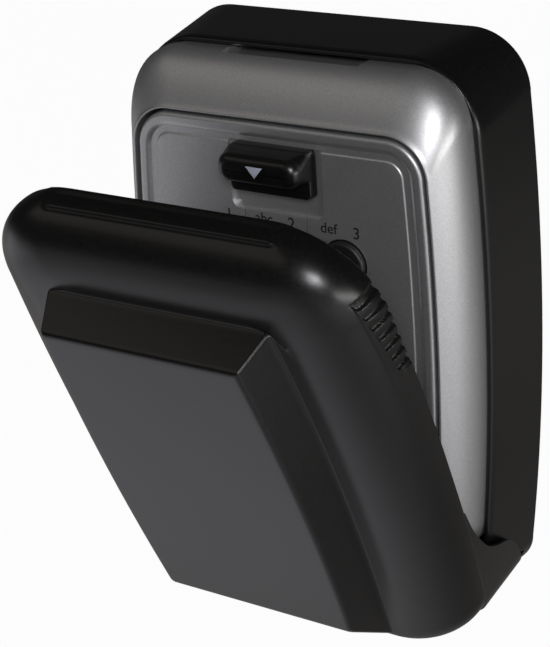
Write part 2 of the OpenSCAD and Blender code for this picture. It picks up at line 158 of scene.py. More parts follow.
def bowed(half, z):
    """Half the width at a height, on a side that is an arc of a large circle."""
    return half - SIDE_BOW + np.sqrt(SIDE_BOW ** 2 - z * z)


def arc(x, z, radius, degrees):
    """Points at some angles round a centre."""
    return [(x + radius * math.cos(a), z + radius * math.sin(a)) for a in np.radians(degrees)]


def outline(shape, steps):
    """Points round [half width, top, bottom, top corner, bottom corner], anticlockwise from below."""
    half, top, bottom, top_corner, low_corner = shape
    z_top = top - top_corner
    z_low = bottom + low_corner
    x_top = bowed(half, z_top) - top_corner
    x_low = bowed(half, z_low) - low_corner
    right = [(x_low * t, bottom) for t in steps["edge"]]
    right += arc(x_low, z_low, low_corner, steps["low_corner"])
    for t in steps["side"]:
        z = z_low + (z_top - z_low) * t
        right.append((bowed(half, z), z))
    right += arc(x_top, z_top, top_corner, steps["top_corner"])
    right += [(x_top * t, top) for t in steps["edge"][::-1]]
    return right + [(-x, z) for x, z in right[-2:0:-1]]


def inset(shape, by):
    """The outline that runs that much inside a shape."""
    half, top, bottom, top_corner, low_corner = shape
    corners = [max(corner - by, LEAST_CORNER) for corner in (top_corner, low_corner)]
    return [half - by, top - by, bottom + by, *corners]


plain_spread = spread(edge=10, corner=12, side=14)
print("A plain corner has", len(plain_spread["top_corner"]), "points")

# %% Stretch a skin over outlines
CORNER_SHARE = 0.45


def at(shape, depth):
    """A station: an outline's five numbers and its depth."""
    return np.array([*shape, depth], float)


def rings_of(stations, steps):
    """The outlines of a row of stations, as rows of points in mm."""
    return np.array([[(x, -depth, z) for x, z in outline(shape, steps)] for *shape, depth in stations])


def new_piece(name, points, faces):
    mesh = bpy.data.meshes.new(name)
    mesh.from_pydata([[c * MM for c in p] for p in points], [], faces)
    mesh.update()
    return add_object(name, mesh)


def tube(rows, size, first=0):
    """Faces between closed rows of points, counted from a first point."""
    faces = []
    for row in range(first, first + (rows - 1) * size, size):
        for j in range(size):
            a = row + j
            b = row + (j + 1) % size
            faces.append((a, b, b + size, a + size))
    return faces


def loft(rings):
    """The points and faces of a closed solid through rows of points, capped at both ends."""
    rows, size = rings.shape[:2]
    last = (rows - 1) * size
    caps = [tuple(range(size - 1, -1, -1)), tuple(range(last, last + size))]
    return rings.reshape(-1, 3).tolist(), tube(rows, size) + caps


def skin(name, rings):
    return new_piece(name, *loft(rings))


def eased(path, width, steps):
    """Rounds the corners of a path of stations, starting about width before each corner."""
    rounded = [path[0]]
    for before, corner, after in zip(path, path[1:], path[2:]):
        start, end = (corner + (other - corner) * min(CORNER_SHARE, width / np.abs(other - corner).max())
                      for other in (before, after))
        for t in np.linspace(0, 1, steps + 1):
            rounded.append((1 - t) ** 2 * start + 2 * t * (1 - t) * corner + t ** 2 * end)
    rounded.append(path[-1])
    return rounded


# %% [markdown]
# ## Cutting, rounding and handing over
# Holes, slots and notches are cut with boolean tools, as a mould maker cuts a block. A small bevel
# then breaks the sharp edges so that they catch light. Edges above an angle are marked sharp, and
# weighted normals keep large faces level. A finished piece that rides on one body is tied to it.

# %% Cutting tools and the last steps of a piece
SPARE = 1.0


def prism(points, back, front):
    """A straight tool with an outline in x and z, between two depths; returns its points and faces."""
    size = len(points)
    corners = [(x, -back, z) for x, z in points] + [(x, -front, z) for x, z in points]
    faces = [tuple(range(size - 1, -1, -1)), tuple(range(size, 2 * size))]
    return corners, faces + tube(2, size)


def circle(x, z, radius, count):
    angles = [2 * math.pi * i / count for i in range(count)]
    return [(x + radius * math.cos(a), z + radius * math.sin(a)) for a in angles]


def rods(places, radius, back, front, count=48):
    """A round tool at each place, between two depths."""
    return [prism(circle(x, z, radius, count), back, front) for x, z in places]


def quarter_round(radius, start, count):
    """Steps round a quarter circle from an angle: how far each lies inwards, and behind the front."""
    angles = np.radians(np.linspace(start, 90, count))
    return [(radius * (1 - math.cos(a)), radius * (1 - math.sin(a))) for a in angles]


def rectangle(left, right, bottom, top):
    return [(left, bottom), (right, bottom), (right, top), (left, top)]


def gather(name, solids):
    """Several tools as one object."""
    points = []
    faces = []
    for corners, sides in solids:
        faces += [tuple(len(points) + i for i in side) for side in sides]
        points += corners
    return new_piece(name, points, faces)


def final_mesh(piece):
    """The mesh that a piece with modifiers, or a text, ends up as."""
    bpy.context.view_layer.update()
    return bpy.data.meshes.new_from_object(piece.evaluated_get(bpy.context.evaluated_depsgraph_get()))


def settle(piece):
    """Applies a piece's modifiers to its mesh."""
    shaped = final_mesh(piece)
    piece.modifiers.clear()
    worn = piece.data
    piece.data = shaped
    bpy.data.meshes.remove(worn)


def carve(piece, solids, how="DIFFERENCE"):
    tool = gather(piece.name + "_tool", solids)
    step = piece.modifiers.new("carve", "BOOLEAN")
    step.operation = how
    step.solver = "EXACT"
    step.object = tool
    settle(piece)
    bpy.data.objects.remove(tool)


def soften(piece, width, degrees=40):
    """Breaks the edges that are sharper than an angle."""
    step = piece.modifiers.new("soften", "BEVEL")
    step.width = width * MM
    step.segments = 2
    step.limit_method = "ANGLE"
    step.angle_limit = math.radians(degrees)
    step.use_clamp_overlap = True
    settle(piece)


def paint(piece, finish):
    piece.data.materials.clear()
    piece.data.materials.append(finish)


def hand_over(piece, body, slot, finish, *nodes, sharp=32, flat=False):
    """Shades a piece, gives it its finish and ties it to its body; flat keeps large faces level."""
    piece.data.shade_smooth()
    piece.data.set_sharp_from_angle(angle=math.radians(sharp))
    if flat:
        level = piece.modifiers.new("level", "WEIGHTED_NORMAL")
        level.weight = 100
        level.keep_sharp = True
        settle(piece)
    paint(piece, finish)
    if body:
        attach(piece, body)
    if nodes:
        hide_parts(*nodes)
    print(piece.name, "has", len(piece.data.vertices), "points")


# %% [markdown]
# ## Finishes
# The safe is sprayed with silver paint that holds fine metal flakes; the cover is soft black plastic
# with a fine moulded grain; the lever has less grain, and the keys are duller. Each finish is a small
# node tree whose noise is sized in metres, so its grain keeps one real size on every piece.

# %% Start a finish
def fill_in(node, **values):
    """Sets inputs of a node by their names, with _ for a space."""
    for socket, value in values.items():
        node.inputs[socket.replace("_", " ")].default_value = value
    return node


def start_finish(name, colour, metallic, roughness):
    finish = bpy.data.materials.new(name)
    finish.use_nodes = True
    shader = finish.node_tree.nodes["Principled BSDF"]
    return finish, fill_in(shader, Base_Color=(*colour, 1), Metallic=metallic, Roughness=roughness)


def add_node(finish, kind, **values):
    return fill_in(finish.node_tree.nodes.new("ShaderNode" + kind), **values)


def wire(source, target):
    source.id_data.links.new(source, target)


def place_by(finish, socket):
    """Feeds the piece's own space, in metres, into a socket."""
    wire(add_node(finish, "TexCoord").outputs["Object"], socket)


def grain(finish, scale, detail=3.0):
    noise = add_node(finish, "TexNoise", Scale=scale, Detail=detail)
    place_by(finish, noise.inputs["Vector"])
    return noise.outputs["Fac"]


def ramp(finish, source, low, high, first, last):
    """Turns noise between low and high into a colour between first and last."""
    node = add_node(finish, "ValToRGB")
    for element, spot, colour in zip(node.color_ramp.elements, (low, high), (first, last)):
        element.position = spot
        element.color = (*colour, 1)
    wire(source, node.inputs["Fac"])
    return node.outputs["Color"]


def roughen(finish, shader, source, low, high):
    span = add_node(finish, "MapRange", To_Min=low, To_Max=high)
    wire(source, span.inputs["Value"])
    wire(span.outputs["Result"], shader.inputs["Roughness"])


BUMP_HEIGHT = 0.0001


def emboss(finish, shader, source, strength):
    bump = add_node(finish, "Bump", Strength=strength, Distance=BUMP_HEIGHT)
    wire(source, bump.inputs["Height"])
    wire(bump.outputs["Normal"], shader.inputs["Normal"])


# %% Silver paint with metal flakes
flake_dark = (0.43, 0.43, 0.435)
flake_light = (0.56, 0.56, 0.565)
silver_paint, silver = start_finish("silver_paint", (0.5, 0.5, 0.505), 0.85, 0.44)
flakes = add_node(silver_paint, "TexVoronoi", Scale=9000.0)
place_by(silver_paint, flakes.inputs["Vector"])
flake_tone = add_node(silver_paint, "SeparateColor")
wire(flakes.outputs["Color"], flake_tone.inputs["Color"])
silver_colour = ramp(silver_paint, flake_tone.outputs["Red"], 0.1, 1.0, flake_dark, flake_light)
wire(silver_colour, silver.inputs["Base Color"])
roughen(silver_paint, silver, flake_tone.outputs["Green"], low=0.38, high=0.48)
spray = grain(silver_paint, scale=1500.0, detail=2.0)
emboss(silver_paint, silver, spray, strength=0.03)
fill_in(silver, Coat_Weight=0.25, Coat_Roughness=0.12)

# %% Black plastics, print and bare metals
NOISE_LOW = 0.3
NOISE_HIGH = 0.7
BRUSH_BUMP = 0.1


def vary(finish, shader, noise, dark, light, rough, bump):
    """Lets noise vary a finish's colour, roughness and height together."""
    tone = ramp(finish, noise, NOISE_LOW, NOISE_HIGH, dark, light)
    wire(tone, shader.inputs["Base Color"])
    roughen(finish, shader, noise, *rough)
    emboss(finish, shader, noise, bump)


def plastic(name, dark, light, rough, bump, scale):
    finish, shader = start_finish(name, dark, 0.0, rough[0])
    vary(finish, shader, grain(finish, scale), dark, light, rough, bump)
    return finish


def brushed(name, dark, light, rough, stretch):
    finish, shader = start_finish(name, light, 1.0, rough[0])
    lay = add_node(finish, "Mapping", Scale=stretch)
    noise = add_node(finish, "TexNoise", Scale=1.0, Detail=4.0)
    place_by(finish, lay.inputs["Vector"])
    wire(lay.outputs["Vector"], noise.inputs["Vector"])
    vary(finish, shader, noise.outputs["Fac"], dark, light, rough, BRUSH_BUMP)
    return finish


cover_plastic = plastic("cover_plastic", (0.003, 0.0028, 0.0027), (0.0055, 0.0052, 0.005),
                        rough=(0.25, 0.34), bump=0.06, scale=1400.0)
lever_plastic = plastic("lever_plastic", (0.003, 0.003, 0.003), (0.006, 0.0055, 0.005),
                        rough=(0.26, 0.34), bump=0.03, scale=900.0)
key_plastic = plastic("key_plastic", (0.004, 0.004, 0.004), (0.011, 0.011, 0.0105),
                      rough=(0.42, 0.52), bump=0.06, scale=1600.0)
label_ink = plastic("label_ink", (0.012, 0.012, 0.013), (0.022, 0.022, 0.023),
                    rough=(0.4, 0.55), bump=0.05, scale=2500.0)
pale_print = plastic("pale_print", (0.36, 0.38, 0.46), (0.42, 0.44, 0.53),
                     rough=(0.4, 0.5), bump=0.05, scale=2500.0)
steel_sheet = brushed("steel_sheet", (0.3, 0.31, 0.32), (0.55, 0.56, 0.57),
                      rough=(0.28, 0.42), stretch=(300.0, 300.0, 6000.0))
steel_wire = brushed("steel_wire", (0.42, 0.43, 0.44), (0.62, 0.63, 0.64),
                     rough=(0.2, 0.32), stretch=(2500.0, 2500.0, 2500.0))
brass = brushed("brass", (0.5, 0.34, 0.1), (0.68, 0.48, 0.18),
                rough=(0.22, 0.36), stretch=(3000.0, 600.0, 3000.0))
print("The cover's finish has", len(cover_plastic.node_tree.nodes), "nodes")

# %% [markdown]
# ## The lock body
# The body is one casting: a box whose front rim rolls inwards in a parabola and ends in a small lip
# round the door's opening. Lofting the rim gives its broad soft highlight. A shallow notch in the top,
# behind the rim, and the four wall screw holes are then cut out.

# %% Body
body = reach("lock_body")
door = reach("door_panel")
cover = reach("rear_cover")
body_corner = 11.4
body_shape = np.array([body.right, body.top, body.bottom, body_corner, body_corner])
door_top = door.top - 0.7
door_corner = 7.8
door_gap = 0.8
opening = inset([door.right, door_top, door.bottom, door_corner, 7.4], -door_gap)
rim_edge = np.array(inset(opening, -0.75))
rim_start = body.front - 8.9
rim_end = body.front - 0.5
rim_rows = 27
body_path = [at(body_shape, body.back)]
for share in np.linspace(0, 1, rim_rows):
    shape = body_shape + (rim_edge - body_shape) * share ** 2
    body_path.append(at(shape, rim_start + (rim_end - rim_start) * share))
lip_crest = at(inset(opening, -0.4), body.front - 0.12)
lip_inside = at(inset(opening, -0.1), body.front - 0.1)
rim_ease = 0.3
body_path += eased([at(rim_edge, rim_end), lip_crest, lip_inside], rim_ease, steps=3)[1:]
opening_front = body.front - 0.2
opening_back = body.front - 5.4
cavity = inset(body_shape, 3.2)
cavity_floor = body.back + 3.0
body_path += eased([at(opening, opening_front), at(opening, opening_back), at(cavity, opening_back),
                    at(cavity, cavity_floor)], rim_ease, steps=2)
fine_spread = spread(edge=16, corner=18, side=20)
lock_body = skin("lock_body_casting", rings_of(body_path, fine_spread))
screw_hole = 2.6
screw_places = [(x, z) for x in (-25, 25) for z in (-35, 35)]
screw_holes = rods(screw_places, screw_hole, body.back - SPARE, cavity_floor + SPARE)
notch_floor = body.top - 1.2
notch_front = cover.front + 2.5
notch_half = 15
notch_mouth = 16.3
notch = prism([(-notch_half, notch_floor), (notch_half, notch_floor), (notch_mouth, body.top + SPARE),
               (-notch_mouth, body.top + SPARE)], cavity_floor, notch_front)
carve(lock_body, screw_holes + [notch])
hand_over(lock_body, "safe", "silver_paint", silver_paint, "lock_body", flat=True)

# %% [markdown]
# ## The door
# The door is a cast panel with a bead along its edge, a flat band, and a keypad field that stands a
# little above the band. Its section is lofted from the edge inwards. Holes for the keys, the recess of
# the lever and its slot are cut through afterwards, so they stay crisp.

# %% Door panel
door_shape = [door.right, door_top, door.bottom, door_corner, 8.8]
panel_back = door.front - 3.0
back_edge = 0.2
bead_round = 0.9
bead_crest = 1.7
bead_foot = 2.9
bead_height = 0.62
band_start = bead_foot + 0.1
band_end = 4.2
field_start = 4.5
field_end = 6.5
field_front = door.front - 0.4
band_front = door.front - bead_height
door_path = [at(inset(door_shape, back_edge), panel_back), at(door_shape, panel_back + back_edge)]
for inwards, behind in quarter_round(bead_round, 0, 11):
    door_path.append(at(inset(door_shape, inwards), door.front - behind))
for share in np.linspace(0, 1, 6):
    inwards = bead_crest + (bead_foot - bead_crest) * share
    door_path.append(at(inset(door_shape, inwards), door.front - bead_height * share ** 2))
door_path += eased([at(inset(door_shape, band_start), band_front),
                    at(inset(door_shape, band_end), band_front),
                    at(inset(door_shape, field_start), field_front),
                    at(inset(door_shape, field_end), field_front)], width=0.1, steps=2)
door_panel = skin("door_casting", rings_of(door_path, fine_spread))


# %% Holes and marks in the door
def centre(box):
    return (box.left + box.right) / 2, (box.bottom + box.top) / 2


keys = list("123456789a0b")
key_reach = {key: reach("button_" + key) for key in keys}
key_centre = {key: centre(key_reach[key]) for key in keys}
first_key = key_reach["1"]
collar_radius = (first_key.right - first_key.left) / 2
key_radius = collar_radius - 1.3
key_gap = 0.3
field_top = door.top - 4.6
recess_bottom = field_top - 14.3
recess_half = 10.6
recess_round = 1.9
recess_floor = field_front - 1.0
low_left = arc(recess_round - recess_half, recess_bottom + recess_round, recess_round,
               np.linspace(180, 270, 9))
low_right = [(-x, z) for x, z in low_left[::-1]]
recess_outline = low_left + low_right + [(recess_half, field_top), (-recess_half, field_top)]
key_holes = rods(key_centre.values(), key_radius + key_gap, panel_back - SPARE, door.front + SPARE, count=64)
lever_recess = prism(recess_outline, recess_floor, door.front + SPARE)
carve(door_panel, key_holes + [lever_recess])
lever = reach("open_lever")
lever_travel = 2.2
neck_half = 4.0
neck_bottom = lever.bottom + 2.4
neck_top = lever.top - 3.2
neck_gap = 0.3
neck_room = neck_half + neck_gap
slot_outline = rectangle(-neck_room, neck_room, neck_bottom - lever_travel - neck_gap, neck_top + neck_gap)
carve(door_panel, [prism(slot_outline, panel_back - SPARE, recess_floor + SPARE / 2)])
mark_half = 0.22
mark_bottom = recess_bottom - 4.5
mark_top = recess_bottom + 0.1
mark_floor = field_front - 0.6
separators = [prism(rectangle(x - mark_half, x + mark_half, mark_bottom, mark_top), mark_floor,
                    field_front + SPARE) for x in (-7.8, 6.6)]
carve(door_panel, separators)
soften(door_panel, 0.18)
hand_over(door_panel, "door", "silver_paint", silver_paint, "door_panel", flat=True)

# %% Door back box
box_shape = inset(door_shape, 3.9)
box_inside = inset(box_shape, 2.2)
box_back = door.back
box_front = panel_back + 0.02
box_path = [at(box_shape, box_front), at(box_shape, box_back), at(box_inside, box_back),
            at(box_inside, box_front)]
door_box = skin("door_back_box", rings_of(box_path, plain_spread)[:, ::-1])
slide = reach("lock_slide")
window_half = 10.3
window_bottom = box_shape[1] - 3.2
window_outline = rectangle(-window_half, window_half, window_bottom, box_shape[1] + SPARE)
carve(door_box, [prism(window_outline, slide.back + 1.2, panel_back - 0.05)])
soften(door_box, 0.15)
hand_over(door_box, "door", "silver_paint", silver_paint, flat=True)
screws = reach("plate_screws")
head_radius = 2.1
post_radius = 2.6
post_bore = 1.0
post_x = screws.right - head_radius
post_heights = (screws.bottom + head_radius, screws.top - head_radius)
post_places = [(x, z) for x in (-post_x, post_x) for z in post_heights]
posts = gather("plate_posts", rods(post_places, post_radius, box_back, box_front))
carve(posts, rods(post_places, post_bore, box_back - SPARE, panel_back, count=24))
hand_over(posts, "door", "silver_paint", silver_paint)

# %% [markdown]
# ## The keys
# A key is a turned button: a flat face with a soft edge, a collar behind the panel and a stem. A
# lathe of one profile round its axis makes it, and a very slight dish in its face gives each key the
# faint shading that moulded keys have.

# %% Turn the twelve keys
def lathe(name, x, z, profile, count=64):
    """Turns (radius, depth) points round an axis along the depth; first and last are on the axis."""
    middle = profile[1:-1]
    points = [(x, -profile[0][1], z)]
    for radius, depth in middle:
        points += [(px, -depth, pz) for px, pz in circle(x, z, radius, count)]
    points.append((x, -profile[-1][1], z))
    faces = [(0, 1 + (j + 1) % count, 1 + j) for j in range(count)]
    faces += tube(len(middle), count, first=1)
    last = 1 + (len(middle) - 1) * count
    faces += [(last + j, last + (j + 1) % count, len(points) - 1) for j in range(count)]
    return new_piece(name, points, faces)


key_front = first_key.front
key_back = first_key.back
collar_front = panel_back - 0.3
collar_back = collar_front - 1.4
stem_radius = 2.0
edge_round = 0.7
face_dish = [(key_radius - 1.5, 0.05), (1.6, 0.12), (0, 0.13)]
key_profile = [(0, key_back), (stem_radius, key_back), (stem_radius, collar_back),
               (collar_radius, collar_back), (collar_radius, collar_front), (key_radius, collar_front),
               (key_radius, key_front - edge_round)]
for inwards, behind in quarter_round(edge_round, 15, 6):
    key_profile.append((key_radius - inwards, key_front - behind))
key_profile += [(radius, key_front - sink) for radius, sink in face_dish]
for key in keys:
    button = lathe("key_" + key, *key_centre[key], key_profile)
    hand_over(button, "button_body_" + key, "black_satin", key_plastic, "button_" + key)

# %% [markdown]
# ## The legends
# Small black print sits above each key on the field. Text objects drawn with Blender's own font are
# turned into thin meshes, so the print is real geometry that rides on the door.

# %% Print the legends
letters = {"2": "abc", "3": "def", "4": "ghi", "5": "jkl", "6": "mno", "7": "pqrs", "8": "tuv", "9": "wxyz"}
font_size = 1.38
ink_thickness = 0.01
ink_spread = 0.035
print_depth = field_front + 0.02


def print_text(name, text, x, z, height, align):
    curve = bpy.data.curves.new(name, "FONT")
    curve.body = text
    curve.size = height * font_size * MM
    curve.align_x = align
    curve.extrude = ink_thickness * MM
    curve.offset = ink_spread * MM
    writer = add_object(name + "_writer", curve)
    upright = Matrix.Rotation(math.radians(90), 4, "X")
    writer.matrix_world = Matrix.Translation(Vector((x, -print_depth, z)) * MM) @ upright
    drawn = final_mesh(writer)
    drawn.transform(writer.matrix_world)
    bpy.data.objects.remove(writer)
    hand_over(add_object(name, drawn), "door", "black_satin", label_ink)


figure_height = 2.45
figure_start = 2.2
letter_height = 2.2
letter_end = -1.3
figure_rise = 5.6
letter_rise = figure_rise + 0.35
for key in keys:
    x, z = key_centre[key]
    print_text("legend_" + key, key.upper(), x + figure_start, z + figure_rise, figure_height, "LEFT")
    if key in letters:
        print_text("legend_letters_" + key, letters[key], x + letter_end, z + letter_rise, letter_height,
                   "RIGHT")

# %% [markdown]
# ## The open lever
# The lever is a gloss black moulding: a flat base that slides in the recess, and a head to pull on.
# Base and head are two lofts over rounded outlines, gathered in one mesh, because the head needs
# softer ends than the base.

# %% Base and head of the lever
lever_middle = centre(lever)[1]
base_back = recess_floor + 0.3
base_front = door.front + 1.9
base_edge = 0.3
base_corner = 1.2
base_cap = 1.5
head_share = 0.37
head_bottom = lever.bottom + (lever.top - lever.bottom) * head_share


def lever_station(inwards, top, bottom, corner, depth):
    """An outline of the lever, with its heights counted from the lever's middle."""
    return at([lever.right - inwards, top - lever_middle, bottom - lever_middle, corner, corner], depth)


base_path = eased([lever_station(0.4, lever.top, lever.bottom, 1.0, base_back),
                   lever_station(0, lever.top, lever.bottom, base_corner, base_back + base_edge),
                   lever_station(0, lever.top, lever.bottom + base_edge, base_corner, base_front),
                   lever_station(base_cap, lever.top - base_cap, lever.bottom + base_cap, 0.6,
                                 base_front)], width=0.4, steps=4)
head_round = 2.2
head_drop = 0.5
low_pull = 0.5
top_pull = 0.8
root_corner = 1.0
tip_corner = 2.6
head_run = lever.front - base_front - head_round
head_path = [lever_station(0, lever.top - 0.2, head_bottom - 0.5, root_corner, base_front - 0.6)]
for share in np.linspace(0.06, 1, 8):
    corner = root_corner + (tip_corner - root_corner) * share
    top = lever.top - head_drop * share
    head_path.append(lever_station(0, top, head_bottom, corner, base_front + head_run * share))
for inwards, behind in quarter_round(head_round, 12, 9):
    corner = tip_corner - low_pull * inwards
    top = lever.top - head_drop - top_pull * inwards
    bottom = head_bottom + low_pull * inwards
    head_path.append(lever_station(inwards, top, bottom, corner, lever.front - behind))
lever_spread = spread(edge=8, corner=10, side=6)
lever_solids = []
for path in (base_path, head_path):
    rings = rings_of(path, lever_spread)
    rings[..., 2] += lever_middle
    lever_solids.append(loft(rings))
open_lever = gather("lever_moulding", lever_solids)
hand_over(open_lever, "lever", "black_gloss", lever_plastic, "open_lever", sharp=50)

# %% Neck and arrow of the lever
neck_outline = rectangle(-neck_half, neck_half, neck_bottom, neck_top)
neck = gather("lever_neck", [prism(neck_outline, lever.back, base_back + base_edge)])
soften(neck, 0.2)
hand_over(neck, "lever", "black_gloss", lever_plastic)
arrow = reach("lever_arrow")
arrow_points = [(arrow.left, arrow.top), (0, arrow.bottom), (arrow.right, arrow.top)]
lever_arrow = gather("lever_arrow_print", [prism(arrow_points, arrow.back - 0.02, arrow.front - 0.08)])
soften(lever_arrow, 0.05)
hand_over(lever_arrow, "lever", "pale_print", pale_print, "lever_arrow")

# %% [markdown]
# ## The rear cover
# A soft black shell hugs the body: it is moulded with a little draft, so its walls lean inwards to a
# rounded lip. Its lower side is cut away along the hinge, and a ledge there carries the rear crease.

# %% Rear cover
cover_shape = [cover.right, cover.top, cover.bottom, 12.4, 8.0]
cover_floor = 2.5
body_gap = 0.3
cover_inside = [body.right + body_gap, body.top + body_gap, cover.bottom + cover_floor, 11.7, 5.5]
back_round = 0.4
draft = 1.4
lip_round = 1.5
lip_roll = 0.8
lip_front = cover.front - 1.0
lip_shape = inset(cover_shape, draft)
lip_top_corner = 15.0
lip_shape[3] = lip_top_corner
cover_path = [at(inset(cover_shape, back_round), 0), at(cover_shape, back_round),
              at(inset(lip_shape, -0.1), lip_front - lip_round)]
for inwards, behind in quarter_round(1.0, 10, 9):
    cover_path.append(at(inset(lip_shape, lip_roll * inwards - 0.03), lip_front - lip_round * behind))
cover_path += eased([at(inset(lip_shape, 1.0), lip_front), at(cover_inside, lip_front),
                     at(cover_inside, cover_floor)], width=0.25, steps=3)
rear_cover = skin("rear_cover_shell", rings_of(cover_path, fine_spread))

# %% Hinge side of the rear cover
strip_run = math.radians(20.37)
strip_length = 17.81
ledge_half = 35.1


def along_strip(s, h):
    """A point s along the shut hinge strip from the rear crease and h above it: (depth, z)."""
    depth = -rear_crease.y + s * math.cos(strip_run) - h * math.sin(strip_run)
    return depth, rear_crease.z + s * math.sin(strip_run) + h * math.cos(strip_run)


def wedge(profile, half):
    """A straight tool with an outline in depth and z, across the width."""
    size = len(profile)
    corners = [(-half, -d, z) for d, z in profile] + [(half, -d, z) for d, z in profile]
    faces = [tuple(range(size)), tuple(range(2 * size - 1, size - 1, -1))]
    faces += [(j, size + j, size + (j + 1) % size, (j + 1) % size) for j in range(size)]
    return corners, faces


tool_half = 60.0
tool_reach = 40.0
hinge_room = 3.8
hinge_cut = [along_strip(s, h) for s, h in rectangle(0, tool_reach, -tool_reach / 2, hinge_room)]
carve(rear_cover, [wedge(hinge_cut, tool_half)])
crease_depth = -rear_crease.y
ledge_back = 2.3
ledge_bottom = cover.bottom + 0.2
ledge_top = rear_crease.z + 2.0
under_cut = rectangle(cover_floor, tool_reach, cover.bottom - SPARE, ledge_top)
carve(rear_cover, [wedge(under_cut, tool_half)])
ledge = rectangle(ledge_back, crease_depth, ledge_bottom, ledge_top)
carve(rear_cover, [wedge(ledge, ledge_half)], "UNION")
groove = circle(crease_depth, rear_crease.z, 1.2, 30)
wall_holes = rods(screw_places, screw_hole, -SPARE, cover_floor + SPARE)
carve(rear_cover, [wedge(groove, ledge_half + SPARE)] + wall_holes)
soften(rear_cover, 0.2)
hand_over(rear_cover, "safe", "black_satin", cover_plastic, "rear_cover", flat=True)

# %% [markdown]
# ## The flap
# The flap is a thin shell: its sides and top round over in a quarter ellipse, and a tall bevelled panel
# stands proud in the middle. It is drawn shut, where its sizes are easy to state, and then turned open
# with the hinge. Grip slots and a finger lip are moulded by moving the points of the skin, so no
# pattern has to be glued on.

# %% Shape of the flap's skin
def to_ajar(points):
    """Turns points in mm from the shut cover to the cover ajar, about the rear crease."""
    angle = math.radians(cover_ajar)
    moved = np.array(points, float)
    y = moved[..., 1] - rear_crease.y
    z = moved[..., 2] - rear_crease.z
    moved[..., 1] = rear_crease.y + y * math.cos(angle) - z * math.sin(angle)
    moved[..., 2] = rear_crease.z + y * math.sin(angle) + z * math.cos(angle)
    return moved


flap_half = reach("cover_flap").right
flap_back = 21.8
flap_edge = np.array([flap_half, 57.9, -51.5, 20.0, 8.5])
crown = np.array([flap_half - 14.1, 44.6, -48.0, 9.0, 3.5])
crown_depth = 34.1
crown_run = crown_depth - flap_back
corner_ease = 1.5
corner_swell = 4.0
panel_foot = [26.4, 43.9, -47.9, 0.5, 0.8]
foot_depth = crown_depth + 0.1
plateau = [23.4, 41.4, -36.4, 0.4, 1.2]
plateau_depth = 42.9
flap_wall = 1.0
panel_wall = 0.8
back_slant = 1.0
slant_bottom = -3.0
slant_rise = 60.0


def fade(room, width):
    """0 outside an edge, growing to 1 where there is that width of room inside it."""
    return np.clip(room / width, 0, 1)


def flap_station(depth, thin=0.0):
    """The flap's outline at a depth, on its outer skin or that much inside it: a quarter ellipse in depth."""
    share = min(max((depth - flap_back) / crown_run, 0), 1)
    shape = flap_edge + (crown - flap_edge) * (1 - math.sqrt(1 - share ** 2))
    corner = crown[3] + (flap_edge[3] - crown[3]) * (1 - share) ** corner_ease
    shape[3] = corner + corner_swell * share * (1 - share)
    return at(inset(shape, thin), depth - thin * share)


def slanted(rings):
    """Leans the flap's back edge towards the wall at its top."""
    leaning = rings.copy()
    rise = fade(rings[..., 2] - slant_bottom, slant_rise)
    leaning[..., 1] += back_slant * rise * fade(crown_depth + rings[..., 1], crown_run)
    return leaning


# %% Rows of the flap
crown_arc = [flap_back + crown_run * math.sin(a) for a in np.radians(np.linspace(34, 86, 18))]
flap_spread = spread(edge=56, corner=12, side=1)
fine_from = 0.85
fine_angle = 32
flap_spread["side"] = np.concatenate([np.linspace(0, fine_from, 26)[1:],
                                      np.linspace(fine_from, 1, 52)[1:-1]])
flap_spread["top_corner"] = np.concatenate([np.linspace(0, fine_angle, 44),
                                            np.linspace(fine_angle, 90, 19)[1:]])
inner_front = plateau_depth - flap_wall
inner_path = [at(inset(plateau, 3.0), inner_front)]
inner_path += eased([at(inset(plateau, 2 * panel_wall), inner_front),
                     at(inset(plateau, panel_wall), inner_front),
                     at(inset(panel_foot, panel_wall), foot_depth - flap_wall),
                     flap_station(crown_depth, flap_wall)], width=0.5, steps=3)
inner_depths = [*crown_arc[::-2], *np.linspace(28, 22.4, 5), flap_back + 0.35, flap_back + 0.08]
inner_path += [flap_station(depth, flap_wall) for depth in inner_depths]
outer_path = eased([flap_station(flap_back, flap_wall - 0.1), flap_station(flap_back),
                    flap_station(flap_back + 0.6)], width=0.3, steps=3)
grip_rows = np.arange(22.5, 28.6, 0.2)
outer_path += [flap_station(depth) for depth in [*grip_rows, *crown_arc]]
outer_path += eased([flap_station(crown_depth), at(panel_foot, foot_depth), at(plateau, plateau_depth),
                     at(inset(plateau, 1.8), plateau_depth)], width=1.5, steps=7)
print("Flap rows:", len(inner_path), "inside and", len(outer_path), "outside")

# %% Mould the grip slots and the finger lip
side_from = 36.0
grip_low = 27.2
grip_high = 47.4
grip_level = 29.0
grip_front = 27.1
grip_lean = 0.06
grip_edge = 0.4
grip_sink = 0.25
first_slot = 28.9
slot_pitch = 2.83
slot_count = 7
slot_half = 0.75
slot_wall = 0.2
slot_front = 24.9
slot_lean = 0.15
slot_end = 0.3
slot_sink = 0.6


def grip_depth(z, depth):
    """How far the grip panel and its slots sink into the flap's sides."""
    panel_front = grip_front + (z - grip_level) * grip_lean
    panel = fade(np.minimum(np.minimum(z - grip_low, grip_high - z), panel_front - depth), grip_edge)
    nearest = np.clip(np.round((z - first_slot) / slot_pitch), 0, slot_count - 1)
    across = np.abs(z - first_slot - nearest * slot_pitch)
    front = slot_front + (z - first_slot) * slot_lean
    slot = fade(slot_half - across, slot_wall) * fade(front + slot_end / 2 - depth, slot_end)
    return grip_sink * panel + slot_sink * slot * (panel > 0.8)


top_from = 50.0
step_half = 25.3
step_back = 23.4
step_run = 2.8
step_front = 26.75
step_rise = 0.6
step_end = 0.8
rim_half = 27.0
rim_run = 1.2
rim_rise = 0.2
lip_drop = 0.5


